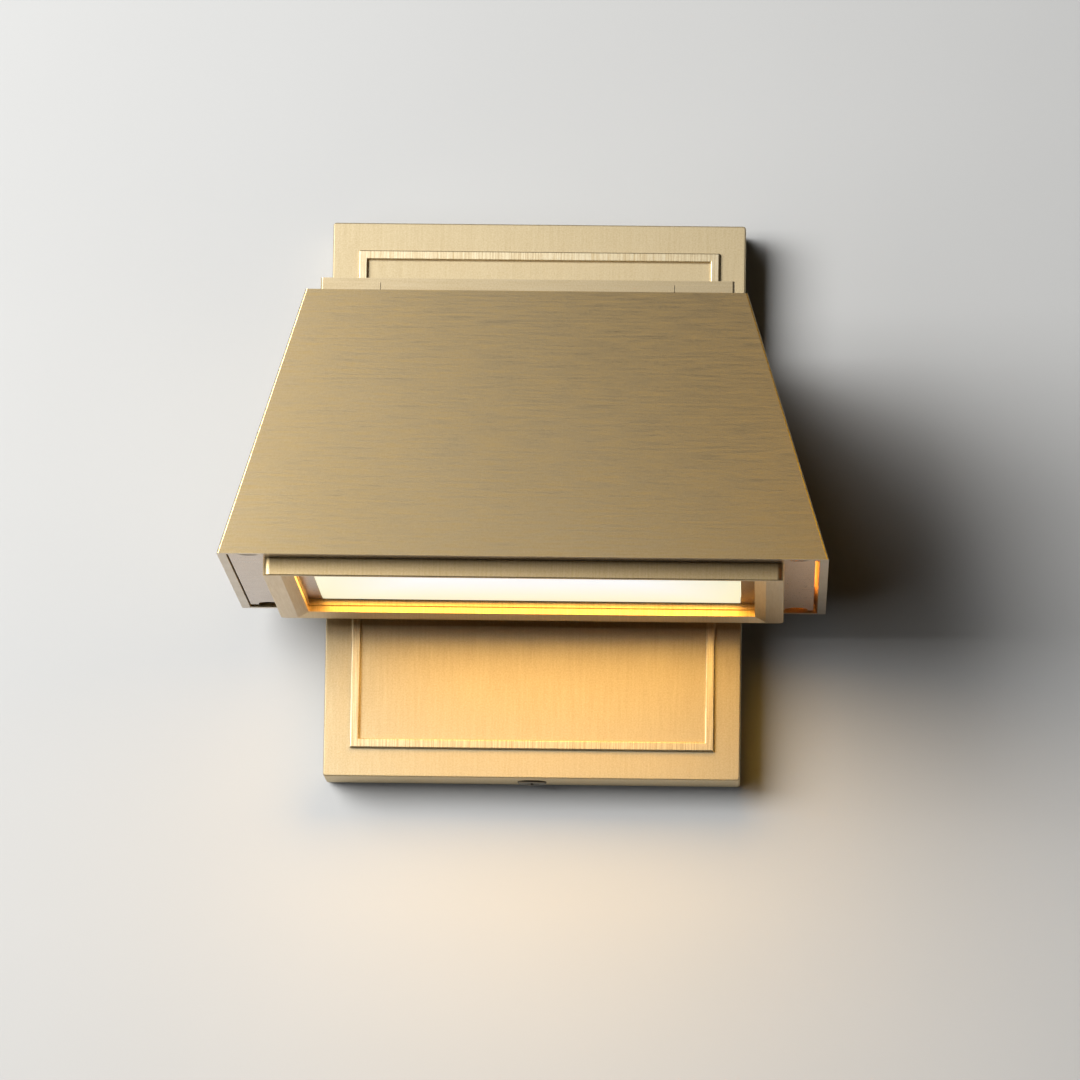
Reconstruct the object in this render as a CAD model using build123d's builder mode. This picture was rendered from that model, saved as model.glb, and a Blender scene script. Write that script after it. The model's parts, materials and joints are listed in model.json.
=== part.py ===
from build123d import *
import os

os.makedirs("parts", exist_ok=True)

# Outdoor wall sconce: a flared sheet-metal hood with a downward LED light, on a shallow wall plate.
# Millimetres, +Z up. The wall is the plane Y = 0 and the lamp reaches out along -Y.
# The origin is the middle of the wall plate's footprint, on the wall.
# A "reach" is a distance out from the wall, so reach = -Y.

# Wall plate: a cast pan with its open side to the wall
plate_width = 115.0
plate_height = 155.4
plate_depth = 14.7
plate_wall = 2.5
plate_corner_radius = 0.8
plate_edge_radius = 0.4
plate_inner_radius = 0.5

# Sealing bead between the pan's rim and the wall
bead_thickness = 1.5
bead_width = 2.0
bead_inset = 0.25

# Raised trim ring on the plate's face
ring_margin_x = 7.25
ring_margin_z = 7.95
ring_bar = 2.5
ring_proud = 1.2
ring_edge_radius = 0.35

# Flared hood, open at the top and at the bottom
hood_top_width = 117.0
hood_bottom_width = 161.3
hood_height = 71.0
hood_depth = 103.3
hood_wall = 2.2
hood_bottom = -31.3
hood_edge_radius = 0.5

# Bottom panel that closes the hood round the light; it lies against the hood's left side
panel_thickness = 1.5
panel_recess = 0.3
panel_side_gap = 0.7
panel_shift = 0.35
panel_front_gap = 0.5
panel_rear_gap = 3.2
notch_radius = 3.1
notch_inset = 5.0
rear_notch_depth = 1.8

# Bezel, a bevelled frame that hangs under the panel
bezel_width = 138.0
bezel_depth = 81.6
bezel_height = 4.8
bezel_setback = 8.9
bezel_side_land = 4.8
bezel_end_land = 1.2
bevel_width = 3.0
bevel_height = 1.3
bezel_corner_radius = 1.8
bezel_edge_radius = 0.4
groove_rise = 1.4
groove_height = 0.5
groove_depth = 0.8

# Diffuser lens: a block that fills the panel's window, with a flange above the panel
lens_width = 114.4
lens_depth = 68.0
lens_proud = 0.2
lens_flange = 2.0
lens_flange_thickness = 1.5
lens_corner_radius = 0.5
lens_clearance = 0.2
lens_gasket_thickness = 1.0
lens_gasket_width = 3.0

# Reflector, LED board and heat sink above the lens
reflector_height = 10.0
reflector_clearance = 0.5
reflector_wall = 2.0
reflector_slope = 6.0
board_width = 112.0
board_depth = 60.0
board_thickness = 1.6
led_width = 3.5
led_depth = 2.8
led_height = 0.8
led_pitch_x = 9.0
led_pitch_y = 22.0
led_columns = 11
led_rows = 2
tray_wall = 3.0
tray_clearance = 0.8
tray_corner_radius = 3.0
sink_base = 3.0
fin_height = 8.4
fin_thickness = 1.5
fin_pitch = 7.0
fin_count = 17
ear_length = 12.0
ear_reach = 8.0
ear_thickness = 3.0
ear_spacing = 50.0
bezel_screw_inset = 2.6
bezel_screw_grip = 2.4
bezel_hole_depth = 3.2

# Driver housing, a box above the heat sink whose top stands out of the hood
housing_side_gap = 1.3
housing_front_gap = 6.0
housing_wall = 1.6
housing_corner_radius = 0.6
housing_rise = 4.6
cover_thickness = 1.2
skirt_width = 78.0
skirt_drop = 13.0
skirt_gap = 0.15

# LED driver on the housing's floor
driver_width = 80.0
driver_depth = 36.0
driver_height = 21.0
driver_edge_radius = 1.5
driver_foot = 7.0
driver_foot_thickness = 2.0
driver_foot_width = 10.5

# Fasteners
m3_radius = 1.5
m4_radius = 2.0
m5_radius = 2.5
clearance = 0.2
thread_fit = 0.05
small_head_radius = 2.8
small_head_height = 1.8
large_head_radius = 4.0
large_head_height = 2.2
sunk_head_depth = 1.9
sunk_head_rise = 0.6
recess_depth = 1.3
flange_height = 1.1
bolt_head_radius = 4.5
bolt_head_height = 3.5
nut_radius = 4.6
nut_height = 4.0
bolt_end = 2.0
recess_width = 0.8
head_edge_radius = 0.5
socket_depth = 1.8
housing_screw_grip = 4.2
bolt_spacing = 56.0
bolt_height = 22.0
housing_screw_inset = 7.0
housing_screw_y = 56.0
boss_radius = 3.6
board_screw_x = 104.0
board_screw_y = 50.0
board_screw_length = 3.6

# Wire bushing through the plate, the neck gasket, the hood and the housing
wire_height = 8.0
bushing_bore = 3.5
bushing_radius = 6.0
bushing_lip_radius = 7.6
bushing_lip = 1.2

# Neck gasket between the plate and the hood
neck_width = 76.0
neck_height = 40.0
neck_corner_radius = 4.0

# Mounting bar behind the plate
bar_width = 28.0
bar_thickness = 1.6
bar_clearance = 0.4
bar_window_width = 16.0
bar_window_length = 40.0
bar_slot_spacing = 88.9
bar_slot_width = 4.6
bar_slot_length = 14.0
bar_bend_radius = 1.0
tab_length = 12.4
hook_reach = 12.6
hook_lip = 3.0
hook_gap = 0.4
rib_thickness = 2.0
rib_drop = 3.0
canopy_screw_reach = 7.7
canopy_screw_length = 7.0
ground_screw_height = -28.5

# Places that follow from the sizes
plate_face = bead_thickness + plate_depth
plate_inner_face = plate_face - plate_wall
ring_width = plate_width - 2 * ring_margin_x
ring_height = plate_height - 2 * ring_margin_z
hood_back = plate_face + ring_proud
hood_front = hood_back + hood_depth
hood_top = hood_bottom + hood_height
hood_lean = (hood_bottom_width - hood_top_width) / 2 / hood_height
hood_side_wall = hood_wall * (1 + hood_lean**2) ** 0.5

panel_bottom = hood_bottom + panel_recess
panel_top = panel_bottom + panel_thickness
bezel_bottom = panel_bottom - bezel_height
engine_reach = hood_front - bezel_setback - bezel_depth / 2
opening_width = bezel_width - 2 * (bezel_side_land + bevel_width)
opening_depth = bezel_depth - 2 * (bezel_end_land + bevel_width)

flange_width = lens_width + 2 * lens_flange
flange_depth = lens_depth + 2 * lens_flange
flange_top = panel_top + lens_flange_thickness
reflector_bottom = flange_top + lens_gasket_thickness
board_bottom = reflector_bottom + reflector_height
sink_bottom = board_bottom + board_thickness
sink_top = sink_bottom + sink_base
fins_top = sink_top + fin_height
tray_inner_width = flange_width + 2 * tray_clearance
tray_inner_depth = flange_depth + 2 * tray_clearance
tray_width = tray_inner_width + 2 * tray_wall
tray_depth = tray_inner_depth + 2 * tray_wall
ear_top = panel_top + ear_thickness
bezel_screw_x = bezel_width - 2 * bezel_screw_inset

housing_width = hood_top_width - 2 * (hood_wall + housing_side_gap)
housing_screw_x = housing_width - 2 * housing_screw_inset
housing_back = hood_back + hood_wall
housing_front = hood_front - hood_wall - housing_front_gap
housing_depth = housing_front - housing_back
housing_reach = (housing_front + housing_back) / 2
housing_floor = fins_top + housing_wall
housing_top = hood_top + housing_rise
housing_rim = housing_top - cover_thickness

bar_half = plate_height / 2 - plate_wall - bar_clearance
hook_top = bar_half - rib_drop - hook_gap
rib_front = hook_reach - bar_thickness - hook_gap


def wall_plane(reach):
    """A plane parallel to the wall, facing out from it; sketch x is X and sketch y is Z."""
    return Plane.XZ.offset(reach)


def engine_plane(height):
    """A level plane whose origin lies over the middle of the bezel."""
    return Plane((0, -engine_reach, height))


def housing_plane(height):
    """A level plane whose origin lies over the middle of the driver housing."""
    return Plane((0, -housing_reach, height))


def hood_half_width(height):
    """Half the hood's outer width at a height."""
    return hood_top_width / 2 + (hood_top - height) * hood_lean


def hood_outline(inset, low, high):
    """A flared outline between two heights, inside the hood's outer lines by a level inset."""
    low_half = hood_half_width(low) - inset
    high_half = hood_half_width(high) - inset
    Polyline((-low_half, low), (low_half, low), (high_half, high), (-high_half, high), close=True)


def plus_shape(size):
    """The outline of a cross recess in a screw head."""
    Rectangle(size, recess_width)
    Rectangle(recess_width, size)


# Wall plate, a pan with a hook rib inside its top wall
with BuildPart() as wall_plate:
    with BuildSketch(wall_plane(bead_thickness)):
        RectangleRounded(plate_width, plate_height, plate_corner_radius)
    extrude(amount=plate_depth)
    fillet(wall_plate.faces().sort_by(Axis.Y)[0].edges(), plate_edge_radius)
    with BuildSketch(wall_plane(bead_thickness)):
        RectangleRounded(
            plate_width - 2 * plate_wall, plate_height - 2 * plate_wall, plate_inner_radius
        )
    extrude(amount=plate_depth - plate_wall, mode=Mode.SUBTRACT)
    with BuildSketch(wall_plane(rib_front - rib_thickness)):
        with Locations((0, plate_height / 2 - plate_wall - rib_drop / 2)):
            Rectangle(bar_width, rib_drop)
    extrude(amount=rib_thickness)
    with BuildSketch(wall_plane(plate_inner_face)):
        with Locations((-bolt_spacing / 2, bolt_height), (bolt_spacing / 2, bolt_height)):
            Circle(m5_radius + clearance)
        with Locations((0, wire_height)):
            Circle(bushing_radius + clearance)
    extrude(amount=plate_wall, mode=Mode.SUBTRACT)
    with BuildSketch(Plane.XY.offset(-plate_height / 2)):
        with Locations((0, -canopy_screw_reach)):
            Circle(m4_radius + clearance)
    extrude(amount=plate_wall, mode=Mode.SUBTRACT)
    with BuildSketch(Plane.XY.offset(-plate_height / 2)):
        with Locations((0, -canopy_screw_reach)):
            Circle(large_head_radius + clearance)
    with BuildSketch(Plane.XY.offset(-plate_height / 2 + sunk_head_depth)):
        with Locations((0, -canopy_screw_reach)):
            Circle(m4_radius + clearance)
    loft(mode=Mode.SUBTRACT)
wall_plate.part.label = "wall_plate"

# Trim ring, a raised rectangular bead on the plate's face
with BuildPart() as plate_trim_ring:
    with BuildSketch(wall_plane(plate_face)):
        Rectangle(ring_width, ring_height)
        Rectangle(ring_width - 2 * ring_bar, ring_height - 2 * ring_bar, mode=Mode.SUBTRACT)
    extrude(amount=ring_proud)
    fillet(plate_trim_ring.faces().sort_by(Axis.Y)[0].edges(), ring_edge_radius)
plate_trim_ring.part.label = "plate_trim_ring"

# Sealing bead behind the pan's rim
bead_outer_width = plate_width - 2 * bead_inset
bead_outer_height = plate_height - 2 * bead_inset
with BuildPart() as wall_gasket:
    with BuildSketch(wall_plane(0)):
        RectangleRounded(bead_outer_width, bead_outer_height, plate_corner_radius)
        RectangleRounded(
            bead_outer_width - 2 * bead_width,
            bead_outer_height - 2 * bead_width,
            plate_inner_radius,
            mode=Mode.SUBTRACT,
        )
    extrude(amount=bead_thickness)
wall_gasket.part.label = "wall_gasket"

# Mounting bar: a folded strap with a screwed tab below and a hook above
bar_side_points = [
    (0, -bar_half),
    (tab_length, -bar_half),
    (tab_length, -bar_half + bar_thickness),
    (bar_thickness, -bar_half + bar_thickness),
    (bar_thickness, hook_top - bar_thickness),
    (hook_reach, hook_top - bar_thickness),
    (hook_reach, hook_top + hook_lip),
    (hook_reach - bar_thickness, hook_top + hook_lip),
    (hook_reach - bar_thickness, hook_top),
    (0, hook_top),
]
with BuildPart() as mounting_bar:
    with BuildSketch(Plane.YZ):
        with BuildLine():
            Polyline([(-reach, height) for reach, height in bar_side_points], close=True)
        make_face()
    extrude(amount=bar_width / 2, both=True)
    fillet(mounting_bar.edges().filter_by(Axis.X).group_by(Axis.Y)[-1], bar_bend_radius)
    with BuildSketch(wall_plane(0)):
        SlotOverall(bar_window_length, bar_window_width, rotation=90)
        with GridLocations(0, bar_slot_spacing, 1, 2):
            SlotOverall(bar_slot_length, bar_slot_width, rotation=90)
        with Locations((0, ground_screw_height)):
            Circle(m4_radius + thread_fit)
    extrude(amount=bar_thickness, mode=Mode.SUBTRACT)
    with BuildSketch(Plane.XY.offset(-bar_half)):
        with Locations((0, -canopy_screw_reach)):
            Circle(m4_radius + thread_fit)
    extrude(amount=bar_thickness, mode=Mode.SUBTRACT)
mounting_bar.part.label = "mounting_bar"

# Countersunk screw up through the pan's lower side into the bar's tab
with BuildPart() as canopy_screw:
    with BuildSketch(Plane.XY.offset(-plate_height / 2)):
        with Locations((0, -canopy_screw_reach)):
            Circle(m4_radius)
    extrude(amount=canopy_screw_length)
    with BuildSketch(Plane.XY.offset(-plate_height / 2)):
        with Locations((0, -canopy_screw_reach)):
            Circle(large_head_radius)
    with BuildSketch(Plane.XY.offset(-plate_height / 2 + sunk_head_depth)):
        with Locations((0, -canopy_screw_reach)):
            Circle(m4_radius)
    loft()
    with BuildSketch(Plane.XY.offset(-plate_height / 2)):
        with Locations((0, -canopy_screw_reach)):
            Circle(large_head_radius)
    extrude(amount=-sunk_head_rise)
    fillet(canopy_screw.faces().sort_by(Axis.Z)[0].edges(), head_edge_radius)
    with BuildSketch(Plane.XY.offset(-plate_height / 2 - sunk_head_rise)):
        with Locations((0, -canopy_screw_reach)):
            plus_shape(large_head_radius)
    extrude(amount=recess_depth, mode=Mode.SUBTRACT)
canopy_screw.part.label = "canopy_screw"

# Ground screw on the mounting bar, a hexagon head on a flange
with BuildPart() as ground_screw:
    with BuildSketch(wall_plane(0)):
        with Locations((0, ground_screw_height)):
            Circle(m4_radius)
    extrude(amount=bar_thickness)
    with BuildSketch(wall_plane(bar_thickness)):
        with Locations((0, ground_screw_height)):
            Circle(large_head_radius)
    extrude(amount=flange_height)
    with BuildSketch(wall_plane(bar_thickness + flange_height)):
        with Locations((0, ground_screw_height)):
            RegularPolygon(large_head_radius, 6)
    extrude(amount=large_head_height)
ground_screw.part.label = "ground_screw"

# Neck gasket that seals the bolts and the wires between the plate and the hood
with BuildPart() as neck_gasket:
    with BuildSketch(wall_plane(plate_face)):
        with Locations((0, (bolt_height + wire_height) / 2)):
            RectangleRounded(neck_width, neck_height, neck_corner_radius)
        with Locations((-bolt_spacing / 2, bolt_height), (bolt_spacing / 2, bolt_height)):
            Circle(m5_radius + clearance, mode=Mode.SUBTRACT)
        with Locations((0, wire_height)):
            Circle(bushing_radius + clearance, mode=Mode.SUBTRACT)
    extrude(amount=ring_proud)
neck_gasket.part.label = "neck_gasket"

# Hood: front, back and flared sides in one folded and welded sheet
with BuildPart() as hood:
    with BuildSketch(wall_plane(hood_back)):
        with BuildLine():
            hood_outline(0, hood_bottom, hood_top)
        make_face()
    extrude(amount=hood_depth)
    fillet(hood.edges().filter_by(Plane.XZ).filter_by(Axis.X, reverse=True), hood_edge_radius)
    with BuildSketch(wall_plane(hood_back + hood_wall)):
        with BuildLine():
            hood_outline(hood_side_wall, hood_bottom - hood_wall, hood_top + hood_wall)
        make_face()
    extrude(amount=hood_depth - 2 * hood_wall, mode=Mode.SUBTRACT)
    with BuildSketch(wall_plane(hood_back)):
        with Locations((-bolt_spacing / 2, bolt_height), (bolt_spacing / 2, bolt_height)):
            Circle(m5_radius + clearance)
        with Locations((0, wire_height)):
            Circle(bushing_radius + clearance)
    extrude(amount=hood_wall, mode=Mode.SUBTRACT)
hood.part.label = "hood"

# Bottom panel, with sides that follow the flare, a lens window and notches at its corners
panel_inset = hood_side_wall + panel_side_gap
panel_half = hood_half_width(panel_bottom) - panel_inset
panel_front = hood_front - hood_wall - panel_front_gap
panel_back = hood_back + hood_wall + panel_rear_gap
notch_x = 2 * (panel_half - notch_inset)
with BuildPart() as bottom_panel:
    with BuildSketch(wall_plane(panel_back)):
        with BuildLine(Location((-panel_shift, 0))):
            hood_outline(panel_inset, panel_bottom, panel_top)
        make_face()
    extrude(amount=panel_front - panel_back)
    with BuildSketch(Plane((0, -panel_front, panel_bottom))):
        with GridLocations(notch_x, 0, 2, 1):
            Circle(notch_radius)
    extrude(amount=panel_thickness, mode=Mode.SUBTRACT)
    with BuildSketch(Plane((0, -panel_back - rear_notch_depth, panel_bottom))):
        with GridLocations(notch_x, 0, 2, 1):
            Circle(notch_radius)
            with Locations((0, notch_radius)):
                Rectangle(2 * notch_radius, 2 * notch_radius)
    extrude(amount=panel_thickness, mode=Mode.SUBTRACT)
    with BuildSketch(engine_plane(panel_bottom)):
        RectangleRounded(
            lens_width + 2 * lens_clearance, lens_depth + 2 * lens_clearance, lens_corner_radius
        )
        with GridLocations(bezel_screw_x, ear_spacing, 2, 2):
            Circle(m3_radius + clearance)
    extrude(amount=panel_thickness, mode=Mode.SUBTRACT)
bottom_panel.part.label = "bottom_panel"

# Bezel: a frame with a bevelled mouth and a fine groove in its inner wall
with BuildPart() as bezel:
    with BuildSketch(engine_plane(bezel_bottom)):
        RectangleRounded(bezel_width, bezel_depth, bezel_corner_radius)
    extrude(amount=bezel_height)
    fillet(bezel.faces().sort_by(Axis.Z)[0].edges(), bezel_edge_radius)
    with BuildSketch(engine_plane(bezel_bottom)):
        Rectangle(opening_width, opening_depth)
    extrude(amount=bezel_height, mode=Mode.SUBTRACT)
    with BuildSketch(engine_plane(bezel_bottom)):
        Rectangle(opening_width + 2 * bevel_width, opening_depth + 2 * bevel_width)
    with BuildSketch(engine_plane(bezel_bottom + bevel_height)):
        Rectangle(opening_width, opening_depth)
    loft(mode=Mode.SUBTRACT)
    with BuildSketch(engine_plane(bezel_bottom + bevel_height + groove_rise)):
        Rectangle(opening_width + 2 * groove_depth, opening_depth + 2 * groove_depth)
    extrude(amount=groove_height, mode=Mode.SUBTRACT)
    with BuildSketch(engine_plane(panel_bottom)):
        with GridLocations(bezel_screw_x, ear_spacing, 2, 2):
            Circle(m3_radius + thread_fit)
    extrude(amount=-bezel_hole_depth, mode=Mode.SUBTRACT)
bezel.part.label = "bezel"

# Lens: a block in the panel's window under a flange that rests on the panel
with BuildPart() as diffuser_lens:
    with BuildSketch(engine_plane(panel_bottom - lens_proud)):
        RectangleRounded(lens_width, lens_depth, lens_corner_radius)
    extrude(amount=panel_thickness + lens_proud)
    with BuildSketch(engine_plane(panel_top)):
        RectangleRounded(flange_width, flange_depth, lens_corner_radius + lens_flange)
    extrude(amount=lens_flange_thickness)
diffuser_lens.part.label = "diffuser_lens"

# Gasket between the lens flange and the reflector
with BuildPart() as lens_gasket:
    with BuildSketch(engine_plane(flange_top)):
        RectangleRounded(flange_width, flange_depth, lens_corner_radius + lens_flange)
        RectangleRounded(
            flange_width - 2 * lens_gasket_width,
            flange_depth - 2 * lens_gasket_width,
            lens_corner_radius,
            mode=Mode.SUBTRACT,
        )
    extrude(amount=lens_gasket_thickness)
lens_gasket.part.label = "lens_gasket"

# Reflector, a white tray whose mouth widens towards the lens
reflector_width = tray_inner_width - 2 * reflector_clearance
reflector_depth = tray_inner_depth - 2 * reflector_clearance
mouth_width = reflector_width - 2 * reflector_wall
mouth_depth = reflector_depth - 2 * reflector_wall
with BuildPart() as reflector:
    with BuildSketch(engine_plane(reflector_bottom)):
        RectangleRounded(reflector_width, reflector_depth, lens_corner_radius)
    extrude(amount=reflector_height)
    with BuildSketch(engine_plane(reflector_bottom)):
        Rectangle(mouth_width, mouth_depth)
    with BuildSketch(engine_plane(board_bottom)):
        Rectangle(mouth_width - 2 * reflector_slope, mouth_depth - 2 * reflector_slope)
    loft(mode=Mode.SUBTRACT)
    with BuildSketch(engine_plane(board_bottom)):
        with GridLocations(board_screw_x, board_screw_y, 2, 2):
            Circle(small_head_radius + clearance)
    extrude(amount=-small_head_height - clearance, mode=Mode.SUBTRACT)
reflector.part.label = "reflector"

# LED board, screwed up to the heat sink's base
with BuildPart() as led_board:
    with BuildSketch(engine_plane(board_bottom)):
        Rectangle(board_width, board_depth)
        with GridLocations(board_screw_x, board_screw_y, 2, 2):
            Circle(m3_radius + clearance, mode=Mode.SUBTRACT)
    extrude(amount=board_thickness)
led_board.part.label = "led_board"

with BuildPart() as led_chips:
    with BuildSketch(engine_plane(board_bottom)):
        with GridLocations(led_pitch_x, led_pitch_y, led_columns, led_rows):
            Rectangle(led_width, led_depth)
    extrude(amount=-led_height)
led_chips.part.label = "led_chips"

with BuildPart() as board_screws:
    with BuildSketch(engine_plane(board_bottom)):
        with GridLocations(board_screw_x, board_screw_y, 2, 2):
            Circle(m3_radius)
    extrude(amount=board_screw_length)
    with BuildSketch(engine_plane(board_bottom)):
        with GridLocations(board_screw_x, board_screw_y, 2, 2):
            Circle(small_head_radius)
    extrude(amount=-small_head_height)
board_screws.part.label = "board_screws"

# Heat sink: an inverted tray with fins on top, bosses for the housing and four ears
with BuildPart() as heat_sink:
    with BuildSketch(engine_plane(panel_top)):
        RectangleRounded(tray_width, tray_depth, tray_corner_radius)
    extrude(amount=sink_top - panel_top)
    with BuildSketch(engine_plane(panel_top)):
        RectangleRounded(tray_inner_width, tray_inner_depth, lens_corner_radius)
    extrude(amount=sink_bottom - panel_top, mode=Mode.SUBTRACT)
    with BuildSketch(engine_plane(sink_top)):
        with GridLocations(fin_pitch, 0, fin_count, 1):
            Rectangle(fin_thickness, tray_depth - 2 * tray_wall)
        with GridLocations(housing_screw_x, housing_screw_y, 2, 2):
            Circle(boss_radius)
    extrude(amount=fin_height)
    with BuildSketch(engine_plane(panel_top)):
        with GridLocations(bezel_screw_x, ear_spacing, 2, 2):
            Rectangle(ear_reach, ear_length)
        Rectangle(tray_width - 2 * tray_wall, tray_depth, mode=Mode.SUBTRACT)
    extrude(amount=ear_thickness)
    with BuildSketch(engine_plane(panel_top)):
        with GridLocations(bezel_screw_x, ear_spacing, 2, 2):
            Circle(m3_radius + clearance)
    extrude(amount=ear_thickness, mode=Mode.SUBTRACT)
    with BuildSketch(engine_plane(fins_top)):
        with GridLocations(housing_screw_x, housing_screw_y, 2, 2):
            Circle(m3_radius + thread_fit)
    extrude(amount=-fin_height, mode=Mode.SUBTRACT)
    with BuildSketch(engine_plane(sink_bottom)):
        with GridLocations(board_screw_x, board_screw_y, 2, 2):
            Circle(m3_radius + thread_fit)
    extrude(amount=board_screw_length - board_thickness + clearance, mode=Mode.SUBTRACT)
heat_sink.part.label = "heat_sink"

# Screws down through the ears and the panel into the bezel
with BuildPart() as bezel_screws:
    with BuildSketch(engine_plane(ear_top)):
        with GridLocations(bezel_screw_x, ear_spacing, 2, 2):
            Circle(m3_radius)
    extrude(amount=-(ear_thickness + panel_thickness + bezel_screw_grip))
    with BuildSketch(engine_plane(ear_top)):
        with GridLocations(bezel_screw_x, ear_spacing, 2, 2):
            Circle(small_head_radius)
    extrude(amount=small_head_height)
    fillet(bezel_screws.faces().group_by(Axis.Z)[-1].edges(), head_edge_radius)
bezel_screws.part.label = "bezel_screws"

# Driver housing: a folded box, open at the top, clamped to the hood's back wall
with BuildPart() as driver_housing:
    with BuildSketch(housing_plane(fins_top)):
        RectangleRounded(housing_width, housing_depth, housing_corner_radius)
    extrude(amount=housing_rim - fins_top)
    with BuildSketch(housing_plane(housing_floor)):
        Rectangle(housing_width - 2 * housing_wall, housing_depth - 2 * housing_wall)
    extrude(amount=housing_rim - housing_floor, mode=Mode.SUBTRACT)
    with BuildSketch(wall_plane(housing_front)):
        with Locations((0, housing_rim - (skirt_drop + skirt_gap) / 2)):
            Rectangle(skirt_width + 2 * skirt_gap, skirt_drop + skirt_gap)
    extrude(amount=-housing_wall, mode=Mode.SUBTRACT)
    with BuildSketch(wall_plane(housing_back)):
        with Locations((-bolt_spacing / 2, bolt_height), (bolt_spacing / 2, bolt_height)):
            Circle(m5_radius + clearance)
        with Locations((0, wire_height)):
            Circle(bushing_radius + clearance)
    extrude(amount=housing_wall, mode=Mode.SUBTRACT)
    with BuildSketch(engine_plane(fins_top)):
        with GridLocations(housing_screw_x, housing_screw_y, 2, 2):
            Circle(m3_radius + clearance)
        with GridLocations(driver_width + driver_foot, 0, 2, 1):
            Circle(m3_radius + thread_fit)
    extrude(amount=housing_wall, mode=Mode.SUBTRACT)
driver_housing.part.label = "driver_housing"

# Housing cover: a lid with a front skirt that lies flush in the housing's front wall
with BuildPart() as housing_cover:
    with BuildSketch(housing_plane(housing_rim)):
        RectangleRounded(housing_width, housing_depth, housing_corner_radius)
    extrude(amount=cover_thickness)
    with BuildSketch(wall_plane(housing_front)):
        with Locations((0, housing_rim - skirt_drop / 2)):
            Rectangle(skirt_width, skirt_drop)
    extrude(amount=-housing_wall)
housing_cover.part.label = "housing_cover"

with BuildPart() as housing_screws:
    with BuildSketch(engine_plane(housing_floor)):
        with GridLocations(housing_screw_x, housing_screw_y, 2, 2):
            Circle(m3_radius)
    extrude(amount=-(housing_wall + housing_screw_grip))
    with BuildSketch(engine_plane(housing_floor)):
        with GridLocations(housing_screw_x, housing_screw_y, 2, 2):
            Circle(small_head_radius)
    extrude(amount=small_head_height)
    fillet(housing_screws.faces().group_by(Axis.Z)[-1].edges(), head_edge_radius)
housing_screws.part.label = "housing_screws"

# LED driver with a mounting foot at each end
with BuildPart() as led_driver:
    with BuildSketch(engine_plane(housing_floor)):
        RectangleRounded(driver_width, driver_depth, driver_edge_radius)
    extrude(amount=driver_height)
    fillet(led_driver.faces().sort_by(Axis.Z)[-1].edges(), driver_edge_radius)
    with BuildSketch(engine_plane(housing_floor)):
        SlotOverall(driver_width + 2 * driver_foot, driver_foot_width)
        with GridLocations(driver_width + driver_foot, 0, 2, 1):
            Circle(m3_radius + clearance, mode=Mode.SUBTRACT)
    extrude(amount=driver_foot_thickness)
led_driver.part.label = "led_driver"

with BuildPart() as driver_screws:
    with BuildSketch(engine_plane(housing_floor + driver_foot_thickness)):
        with GridLocations(driver_width + driver_foot, 0, 2, 1):
            Circle(m3_radius)
    extrude(amount=-(driver_foot_thickness + housing_wall))
    with BuildSketch(engine_plane(housing_floor + driver_foot_thickness)):
        with GridLocations(driver_width + driver_foot, 0, 2, 1):
            Circle(small_head_radius)
    extrude(amount=small_head_height)
    fillet(driver_screws.faces().group_by(Axis.Z)[-1].edges(), head_edge_radius)
driver_screws.part.label = "driver_screws"

# Bolts from inside the pan, through the gasket and the hood, into the housing
bolt_places = [(-bolt_spacing / 2, bolt_height), (bolt_spacing / 2, bolt_height)]
nut_seat = housing_back + housing_wall
with BuildPart() as body_bolts:
    with BuildSketch(wall_plane(plate_inner_face)):
        with Locations(*bolt_places):
            Circle(m5_radius)
    extrude(amount=nut_seat + nut_height + bolt_end - plate_inner_face)
    with BuildSketch(wall_plane(plate_inner_face - bolt_head_height)):
        with Locations(*bolt_places):
            Circle(bolt_head_radius)
    extrude(amount=bolt_head_height)
    with BuildSketch(wall_plane(plate_inner_face - bolt_head_height)):
        with Locations(*bolt_places):
            RegularPolygon(m5_radius, 6)
    extrude(amount=socket_depth, mode=Mode.SUBTRACT)
body_bolts.part.label = "body_bolts"

with BuildPart() as body_nuts:
    with BuildSketch(wall_plane(nut_seat)):
        with Locations(*bolt_places):
            RegularPolygon(nut_radius, 6)
            Circle(m5_radius + thread_fit, mode=Mode.SUBTRACT)
    extrude(amount=nut_height)
body_nuts.part.label = "body_nuts"

# Rubber bushing that lines the wire hole, with its lip inside the pan
with BuildPart() as wire_bushing:
    with BuildSketch(wall_plane(plate_inner_face - bushing_lip)):
        with Locations((0, wire_height)):
            Circle(bushing_lip_radius)
    extrude(amount=bushing_lip)
    with BuildSketch(wall_plane(plate_inner_face)):
        with Locations((0, wire_height)):
            Circle(bushing_radius)
    extrude(amount=nut_seat + bushing_lip - plate_inner_face)
    with BuildSketch(wall_plane(plate_inner_face - bushing_lip)):
        with Locations((0, wire_height)):
            Circle(bushing_bore)
    extrude(amount=nut_seat + 2 * bushing_lip - plate_inner_face, mode=Mode.SUBTRACT)
wire_bushing.part.label = "wire_bushing"

for piece in (
    wall_plate,
    plate_trim_ring,
    wall_gasket,
    mounting_bar,
    canopy_screw,
    ground_screw,
    neck_gasket,
    wire_bushing,
    body_bolts,
    body_nuts,
    hood,
    bottom_panel,
    bezel,
    bezel_screws,
    diffuser_lens,
    lens_gasket,
    reflector,
    led_board,
    led_chips,
    board_screws,
    heat_sink,
    driver_housing,
    housing_cover,
    housing_screws,
    led_driver,
    driver_screws,
):
    export_step(piece.part, "parts/" + piece.part.label + ".step")
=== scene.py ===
import json
import math

import bpy
from mathutils import Matrix, Vector

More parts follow.
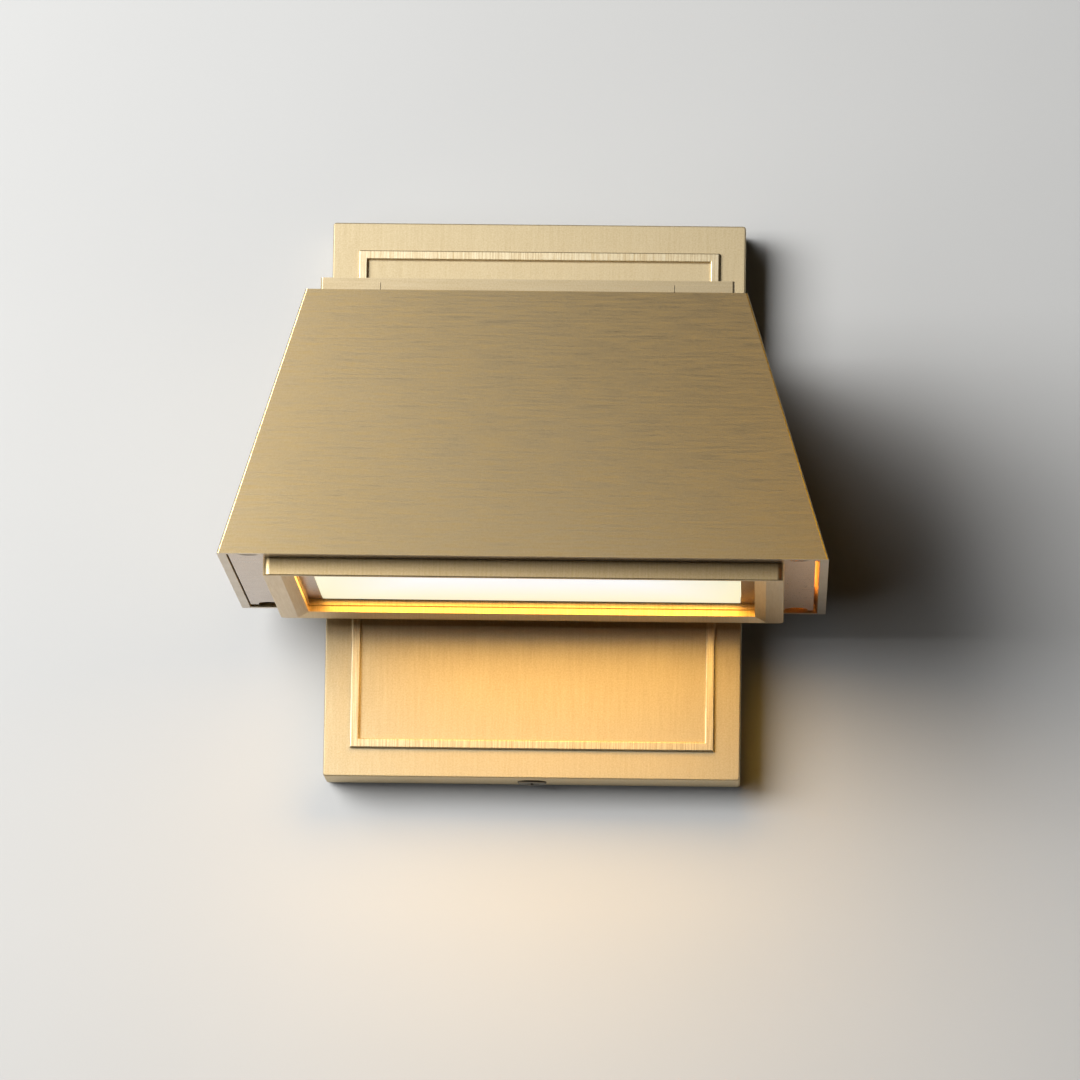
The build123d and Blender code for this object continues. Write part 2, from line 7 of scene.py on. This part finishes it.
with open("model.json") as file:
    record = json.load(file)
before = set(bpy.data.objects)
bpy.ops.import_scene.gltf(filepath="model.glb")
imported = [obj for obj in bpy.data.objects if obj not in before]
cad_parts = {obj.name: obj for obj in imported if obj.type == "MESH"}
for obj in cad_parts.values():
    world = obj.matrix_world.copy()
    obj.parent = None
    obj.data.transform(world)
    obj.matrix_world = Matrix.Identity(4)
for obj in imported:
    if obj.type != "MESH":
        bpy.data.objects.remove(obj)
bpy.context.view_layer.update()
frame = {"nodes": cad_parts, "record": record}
nodes = frame["nodes"]


# Small helpers for building node trees


class Look:
    """A material under construction: its node tree, with short calls to add and join nodes."""

    # Where a colour Mix node has its factor, its two colours and its result
    mix_inputs = (0, 6, 7)
    mix_result = 2

    def __init__(self, name):
        self.material = bpy.data.materials.new(name)
        self.material.use_nodes = True
        self.tree = self.material.node_tree
        self.tree.nodes.clear()
        self.output = self.add("ShaderNodeOutputMaterial")

    def add(self, kind, **settings):
        node = self.tree.nodes.new(kind)
        for key, value in settings.items():
            setattr(node, key, value)
        return node

    def join(self, source, target):
        self.tree.links.new(source, target)

    def place(self):
        """The point on the object, in metres."""
        return self.add("ShaderNodeTexCoord").outputs["Object"]

    def axes(self, vector):
        """A vector's three parts, by the names X, Y and Z."""
        split = self.add("ShaderNodeSeparateXYZ")
        self.join(vector, split.inputs["Vector"])
        return split.outputs

    def scaled(self, source, scale):
        mapping = self.add("ShaderNodeMapping")
        mapping.inputs["Scale"].default_value = scale
        self.join(source, mapping.inputs["Vector"])
        return mapping.outputs["Vector"]

    def noise(self, source, frequency, detail=2.0, roughness=0.5):
        node = self.add("ShaderNodeTexNoise")
        node.inputs["Scale"].default_value = frequency
        node.inputs["Detail"].default_value = detail
        node.inputs["Roughness"].default_value = roughness
        self.join(source, node.inputs["Vector"])
        return node.outputs["Fac"]

    def remap(self, source, given, wanted=(0.0, 1.0)):
        """Carries the range given to the range wanted, and holds still beyond it."""
        node = self.add("ShaderNodeMapRange")
        node.inputs["From Min"].default_value = given[0]
        node.inputs["From Max"].default_value = given[1]
        node.inputs["To Min"].default_value = wanted[0]
        node.inputs["To Max"].default_value = wanted[1]
        self.join(source, node.inputs["Value"])
        return node.outputs["Result"]

    def mix(self, factor, first, second):
        """A colour between two colours or colour sockets."""
        node = self.add("ShaderNodeMix", data_type="RGBA")
        for value, socket in zip((factor, first, second), self.mix_inputs):
            if isinstance(value, (tuple, float)):
                node.inputs[socket].default_value = value
            else:
                self.join(value, node.inputs[socket])
        return node.outputs[self.mix_result]

    def calculate(self, operation, first, second=0.0):
        node = self.add("ShaderNodeMath", operation=operation)
        for value, socket in zip((first, second), node.inputs):
            if isinstance(value, (int, float)):
                socket.default_value = value
            else:
                self.join(value, socket)
        return node.outputs[0]

    def bump(self, height, strength, distance):
        node = self.add("ShaderNodeBump")
        node.inputs["Strength"].default_value = strength
        node.inputs["Distance"].default_value = distance
        self.join(height, node.inputs["Height"])
        return node.outputs["Normal"]

    def edges(self, radius):
        """1 on edges and corners, 0 on flat faces."""
        flat_cosine, corner_cosine = 0.97, 0.8
        bevel = self.add("ShaderNodeBevel", samples=4)
        bevel.inputs["Radius"].default_value = radius
        geometry = self.add("ShaderNodeNewGeometry")
        dot = self.add("ShaderNodeVectorMath", operation="DOT_PRODUCT")
        self.join(bevel.outputs["Normal"], dot.inputs[0])
        self.join(geometry.outputs["True Normal"], dot.inputs[1])
        return self.remap(dot.outputs["Value"], (flat_cosine, corner_cosine))

    def facing_down(self):
        """1 on faces that look straight down, 0 on upright ones."""
        tilted, level = -0.7, -0.95
        geometry = self.add("ShaderNodeNewGeometry")
        return self.remap(self.axes(geometry.outputs["True Normal"])["Z"], (tilted, level))

    def shader(self, **values):
        node = self.add("ShaderNodeBsdfPrincipled")
        for key, value in values.items():
            node.inputs[key.replace("_", " ")].default_value = value
        self.join(node.outputs["BSDF"], self.output.inputs["Surface"])
        return node


def colour(red, green, blue):
    """A linear colour from 0-255 display values."""
    parts = []
    for value in (red, green, blue):
        share = value / 255
        parts.append(share / 12.92 if share <= 0.04045 else ((share + 0.055) / 1.055) ** 2.4)
    return (*parts, 1.0)


# Finishes, each kept under the name of the record's material slot that it dresses

finishes = {}

# Most of a noise's values lie in this range, around their middle
noise_range = (0.3, 0.7)
noise_middle = 0.5


def brushed(slot, light, dark, lines, rough, grain, contrast=1.0, depth=0.4, below=0.0):
    """Satin metal with brush lines; lines gives the pattern's frequency along X, Y and Z, per metre.

    grain is the share of fine speck in the pattern, and depth the strength of the pattern's relief.
    Faces that look down take a share, below, of a painted grey: painted light, the greyer look that
    lower faces get from what lies below them.
    """
    # Painted light: the grey that faces looking down are tinted towards
    painted_underside_grey = colour(206, 194, 176)
    edge_radius, edge_share, edge_gain = 0.0004, 0.3, 1.25
    tone_reach = 0.11 / contrast
    tone_range = (noise_middle - tone_reach, noise_middle + tone_reach)
    cloud_range, cloud_share = (0.35, 0.7), 0.22
    rough_range, rough_swing = (0.35, 0.65), 0.05
    relief = 0.00006

    look = Look(slot)
    place = look.place()
    strokes = look.noise(look.scaled(place, lines), frequency=1.0, detail=5.0, roughness=0.62)
    speck = look.noise(place, frequency=2400.0)
    cloud = look.noise(place, frequency=22.0, detail=3.0)
    stroke_part = look.calculate("MULTIPLY", strokes, 1 - grain)
    speck_part = look.calculate("MULTIPLY", speck, grain)
    tone = look.calculate("ADD", stroke_part, speck_part)

    body = look.mix(look.remap(tone, tone_range), dark, light)
    body = look.mix(look.remap(cloud, cloud_range, (0.0, cloud_share)), body, dark)
    # Painted light: faces that look down are tinted towards grey, for the light they catch from below
    down = look.calculate("MULTIPLY", look.facing_down(), below)
    body = look.mix(down, body, painted_underside_grey)
    bright = tuple(min(1.0, part * edge_gain) for part in light)
    body = look.mix(look.calculate("MULTIPLY", look.edges(edge_radius), edge_share), body, bright)

    shader = look.shader(Metallic=1.0)
    look.join(body, shader.inputs["Base Color"])
    roughness = look.remap(tone, rough_range, (rough + rough_swing, rough - rough_swing))
    look.join(roughness, shader.inputs["Roughness"])
    look.join(look.bump(tone, depth, relief), shader.inputs["Normal"])
    finishes[slot] = look.material


def cast(slot, light, dark, rough, metallic=0.0, depth=0.3):
    """A moulded, cast or plated surface with a fine grain and faint cloudy tone."""
    edge_radius, edge_share = 0.0005, 0.25
    smoother, rougher = 0.05, 0.08
    relief = 0.00004

    look = Look(slot)
    place = look.place()
    fine = look.noise(place, frequency=1800.0, detail=3.0)
    cloud = look.noise(place, frequency=45.0, detail=4.0)
    shader = look.shader(Metallic=metallic)
    body = look.mix(look.remap(cloud, noise_range), dark, light)
    body = look.mix(look.calculate("MULTIPLY", look.edges(edge_radius), edge_share), body, light)
    look.join(body, shader.inputs["Base Color"])
    roughness = look.remap(fine, noise_range, (rough - smoother, rough + rougher))
    look.join(roughness, shader.inputs["Roughness"])
    look.join(look.bump(fine, depth, relief), shader.inputs["Normal"])
    finishes[slot] = look.material


def frosted_lens(slot):
    """Frosted lens lit from above: nearly white in its middle, creamier to the rear and the ends."""
    white, cream, warm_grain = colour(241, 247, 252), colour(237, 234, 184), colour(250, 232, 190)
    unlit_front, unlit_rear = colour(172, 172, 172), colour(166, 163, 150)
    # Where the cream tone begins and where it stops growing, along Y and out from the middle along X
    rear_reach, end_reach = (-0.072, -0.034), (0.030, 0.058)
    rear_share, end_share, grain_share = 0.75, 0.8, 0.03

    look = Look(slot)
    place = look.place()
    point = look.axes(place)
    rear = look.remap(point["Y"], rear_reach, (0.0, rear_share))
    ends = look.remap(look.calculate("ABSOLUTE", point["X"]), end_reach, (0.0, end_share))
    glow = look.mix(look.calculate("MAXIMUM", rear, ends), white, cream)
    grain = look.noise(place, frequency=900.0)
    glow = look.mix(look.remap(grain, noise_range, (0.0, grain_share)), glow, warm_grain)
    shader = look.shader(Roughness=0.35, Emission_Strength=0.9)
    look.join(glow, shader.inputs["Emission Color"])
    look.join(look.mix(rear, unlit_front, unlit_rear), shader.inputs["Base Color"])
    finishes[slot] = look.material


def phosphor(slot):
    """The yellow, faintly lit face of the light chips."""
    look = Look(slot)
    grain = look.noise(look.place(), frequency=1500.0)
    body = look.mix(look.remap(grain, noise_range), colour(246, 214, 96), colour(232, 190, 70))
    shader = look.shader(Roughness=0.3, Emission_Strength=0.6)
    look.join(body, shader.inputs["Base Color"])
    look.join(body, shader.inputs["Emission Color"])
    finishes[slot] = look.material


brushed(
    "plate_brass",
    light=colour(221, 204, 168),
    dark=colour(210, 191, 152),
    lines=(1500, 1500, 80),
    rough=0.55,
    grain=0.6,
    contrast=0.7,
)
brushed(
    "ring_brass",
    light=colour(252, 238, 204),
    dark=colour(214, 191, 148),
    lines=(2600, 2600, 70),
    rough=0.46,
    grain=0.15,
    contrast=0.9,
)
brushed(
    "hood_brass",
    light=colour(199, 178, 140),
    dark=colour(178, 154, 110),
    lines=(75, 75, 1500),
    rough=0.345,
    grain=0.3,
    depth=0.3,
    below=0.8,
)
brushed(
    "bezel_brass",
    light=colour(236, 209, 162),
    dark=colour(219, 189, 136),
    lines=(1800, 90, 90),
    rough=0.42,
    grain=0.4,
    contrast=0.8,
    below=0.5,
)
brushed(
    "housing_brass",
    light=colour(213, 195, 160),
    dark=colour(199, 180, 143),
    lines=(75, 1500, 1500),
    rough=0.5,
    grain=0.5,
)
brushed(
    "panel_metal",
    light=colour(208, 192, 176),
    dark=colour(192, 175, 158),
    lines=(60, 800, 800),
    rough=0.31,
    grain=0.5,
    contrast=0.35,
    depth=0.05,
)
cast("raw_aluminium", colour(214, 214, 216), colour(188, 189, 192), rough=0.42, metallic=1.0)
cast("zinc_steel", colour(205, 205, 203), colour(170, 171, 172), rough=0.36, metallic=1.0)
cast("screw_steel", colour(150, 140, 120), colour(110, 102, 88), rough=0.4, metallic=1.0)
cast("ground_green", colour(54, 140, 74), colour(36, 112, 56), rough=0.4, metallic=0.6)
cast("black_rubber", colour(38, 38, 38), colour(26, 26, 27), rough=0.75, depth=0.5)
cast("white_silicone", colour(230, 229, 222), colour(216, 214, 205), rough=0.6)
cast("white_plastic", colour(240, 239, 234), colour(228, 227, 221), rough=0.5)
cast("board_white", colour(236, 238, 236), colour(222, 225, 222), rough=0.4)
cast("driver_case", colour(226, 226, 223), colour(212, 212, 208), rough=0.55)
frosted_lens("opal_lens")
phosphor("led_phosphor")

for part in frame["record"]["subparts"]:
    mesh = nodes[part["node"]].data
    mesh.materials.clear()
    mesh.materials.append(finishes[part["material_slot"]])


# Wall and floor


def stage_plane(name, corners, material):
    mesh = bpy.data.meshes.new(name)
    mesh.from_pydata(corners, [], [tuple(range(len(corners)))])
    mesh.materials.append(material)
    plane = bpy.data.objects.new(name, mesh)
    bpy.context.scene.collection.objects.link(plane)
    return plane


def plaster(name, light, dark, one_sided):
    """Smooth painted plaster. One-sided plaster is clear from behind, so that it hides nothing there."""
    look = Look(name)
    place = look.place()
    cloud = look.noise(place, frequency=6.0, detail=4.0)
    grain = look.noise(place, frequency=900.0, detail=3.0)
    shader = look.shader(Roughness=0.85)
    look.join(look.mix(look.remap(cloud, noise_range), dark, light), shader.inputs["Base Color"])
    look.join(look.bump(grain, strength=0.15, distance=0.0001), shader.inputs["Normal"])
    if one_sided:
        clear = look.add("ShaderNodeBsdfTransparent")
        mix = look.add("ShaderNodeMixShader")
        look.join(look.add("ShaderNodeNewGeometry").outputs["Backfacing"], mix.inputs[0])
        look.join(shader.outputs["BSDF"], mix.inputs[1])
        look.join(clear.outputs["BSDF"], mix.inputs[2])
        look.join(mix.outputs["Shader"], look.output.inputs["Surface"])
    return look.material


# The wall is just behind the plane that the plate's seal rests on
wall_y = 0.0004
wall_top = 3.0
floor_z = -2.3
floor_front = -5.0
stage_left, stage_right = -3.0, 3.0

wall = stage_plane(
    "backdrop_wall",
    [
        (stage_left, wall_y, floor_z),
        (stage_right, wall_y, floor_z),
        (stage_right, wall_y, wall_top),
        (stage_left, wall_y, wall_top),
    ],
    plaster("wall_paint", (0.352, 0.352, 0.349, 1.0), (0.338, 0.338, 0.335, 1.0), one_sided=True),
)
wall.visible_shadow = False
floor = stage_plane(
    "floor",
    [
        (stage_left, floor_front, floor_z),
        (stage_right, floor_front, floor_z),
        (stage_right, wall_y, floor_z),
        (stage_left, wall_y, floor_z),
    ],
    plaster("floor_paint", (0.338, 0.330, 0.318, 1.0), (0.320, 0.314, 0.303, 1.0), one_sided=False),
)


# Lamps

plate_middle = (0, 0, 0)
hood_front = (0, -0.10, 0)
lens_points = [vertex.co for vertex in nodes["diffuser_lens"].data.vertices]
lens_y = (min(point.y for point in lens_points) + max(point.y for point in lens_points)) / 2
lens_face = min(point.z for point in lens_points)
far_below = -1
daylight = (1.0, 1.0, 0.995)
white = (1.0, 1.0, 1.0)
stage_gain = 2.26


def add_lamp(name, place, target, size, power, tint, spread=180, lights=None):
    """A soft rectangular lamp that faces target; size is its width and height, and power is in watts.

    lights holds the objects that it lights. Without it, the lamp lights everything.
    """
    light = bpy.data.lights.new(name, "AREA")
    light.shape = "RECTANGLE"
    light.size, light.size_y = size
    light.energy = power
    light.color = tint
    light.spread = math.radians(spread)
    lamp = bpy.data.objects.new(name, light)
    lamp.location = place
    lamp.rotation_mode = "QUATERNION"
    lamp.rotation_quaternion = (Vector(target) - Vector(place)).to_track_quat("-Z", "Y")
    lamp.visible_camera = False
    bpy.context.scene.collection.objects.link(lamp)
    if lights is not None:
        group = bpy.data.collections.new(name + "_lights")
        for thing in lights:
            group.objects.link(thing)
        lamp.light_linking.receiver_collection = group


def add_stage_lamp(name, power, **settings):
    """A lamp for the wall and floor only, stronger than power says.

    Their paint is darker than it looks and throws less light back, so the shadows on it stay deep.
    """
    add_lamp(name + "_on_stage", power=power * stage_gain, lights=(wall, floor), **settings)


# The main light comes from the upper left, and the stage has it in three heights for soft shadows
add_lamp(
    "key",
    place=(-0.635, -0.94, 0.262),
    target=plate_middle,
    size=(0.68, 0.66),
    power=14.2,
    tint=daylight,
    lights=nodes.values(),
)
stage_keys = (
    ("key", 0.18, 0.48, 11.9),
    ("high_key", 0.62, 0.45, 3.3),
    ("low_key", -0.25, 0.40, 1.1),
)
for name, z, height, power in stage_keys:
    add_stage_lamp(
        name,
        place=(-0.67, -0.94, z),
        target=plate_middle,
        size=(0.86, height),
        power=power,
        tint=daylight,
    )

# The lens's light, thrown down from just below it
glow_x, glow_z = 0.006, lens_face - 0.0004
lens_glow = dict(
    place=(glow_x, lens_y, glow_z),
    target=(glow_x, lens_y, far_below),
    size=(0.108, 0.066),
    power=0.088,
    tint=(1.0, 0.54, 0.03),
    spread=168,
)
add_lamp("lens_glow", lights=nodes.values(), **lens_glow)
add_stage_lamp("lens_glow", **lens_glow)

# Light inside the hood that shows in the gap at the panel's right end
gap_y = -0.079
add_lamp(
    "hood_leak",
    place=(0.0700, gap_y, -0.0235),
    target=(0.0780, gap_y, -0.0290),
    size=(0.06, 0.003),
    power=0.06,
    tint=(1.0, 0.40, 0.09),
    spread=120,
)

# The lens's light on the inner walls of the frame around it
rim_z = lens_face - 0.0002
add_lamp(
    "rim_glow",
    place=(0, lens_y, rim_z),
    target=(0, lens_y, far_below),
    size=(0.114, 0.068),
    power=0.13,
    tint=(1.0, 0.50, 0.05),
    lights=(nodes["bezel"],),
)

# Reflections on the satin metal
add_lamp(
    "warm_sheen",
    place=(0.25, -0.40, 0.02),
    target=hood_front,
    size=(0.15, 0.15),
    power=0.34,
    tint=(1.0, 0.60, 0.01),
    lights=(nodes["hood"],),
)
add_lamp(
    "cool_sheen",
    place=(-0.25, -0.40, 0.0),
    target=hood_front,
    size=(0.15, 0.15),
    power=0.16,
    tint=(0.80, 0.93, 1.0),
    lights=(nodes["hood"], nodes["bezel"]),
)
add_lamp(
    "front_sheen",
    place=(0, -0.54, -0.03),
    target=(0, -0.12, -0.02),
    size=(0.15, 0.08),
    power=0.045,
    tint=(1.0, 0.98, 0.9),
    lights=(nodes["hood"],),
)
add_lamp(
    "panel_sheen",
    place=(0.11, -0.004, -0.085),
    target=(0.07, -0.08, -0.031),
    size=(0.05, 0.05),
    power=0.03,
    tint=(1.0, 0.45, 0.1),
    lights=(nodes["bottom_panel"],),
)

# Faint light on the right side, and light on what shows from behind
add_lamp(
    "side_fill",
    place=(1.4, 0.45, 0.5),
    target=plate_middle,
    size=(1.0, 1.0),
    power=1.5,
    tint=white,
    lights=nodes.values(),
)
rear_nodes = (
    "wall_plate",
    "wall_gasket",
    "mounting_bar",
    "ground_screw",
    "canopy_screw",
    "body_bolts",
    "wire_bushing",
)
add_lamp(
    "behind",
    place=(0, 1.5, 0.6),
    target=plate_middle,
    size=(0.5, 0.5),
    power=0.9,
    tint=white,
    spread=40,
    lights=[nodes[name] for name in rear_nodes],
)

world = bpy.data.worlds.new("studio")
world.use_nodes = True
background = world.node_tree.nodes["Background"]
background.inputs["Color"].default_value = (1.0, 0.72, 0.48, 1.0)
background.inputs["Strength"].default_value = 0.006
bpy.context.scene.world = world
bpy.context.scene.view_settings.view_transform = "Standard"


# Camera: a long lens from below and a little to the right, as in the photograph

camera_place = Vector((0.06517, -2.11842, -0.32691))
focal_length = 255.93
sensor_width = 36.0
yaw, pitch, roll = -0.03031, 0.14899, 0.01534

ahead = Vector((math.sin(yaw) * math.cos(pitch), math.cos(yaw) * math.cos(pitch), math.sin(pitch)))
level = Vector((math.cos(yaw), -math.sin(yaw), 0))
over = level.cross(ahead)
right = level * math.cos(roll) + over * math.sin(roll)
up = over * math.cos(roll) - level * math.sin(roll)

camera_data = bpy.data.cameras.new("camera")
camera_data.sensor_width = sensor_width
camera_data.lens = focal_length
camera_data.clip_start = 0.1
camera_data.clip_end = 30.0
camera = bpy.data.objects.new("camera", camera_data)
camera.matrix_world = Matrix((
    (right.x, up.x, -ahead.x, camera_place.x),
    (right.y, up.y, -ahead.y, camera_place.y),
    (right.z, up.z, -ahead.z, camera_place.z),
    (0, 0, 0, 1),
))
bpy.context.scene.collection.objects.link(camera)
bpy.context.scene.camera = camera
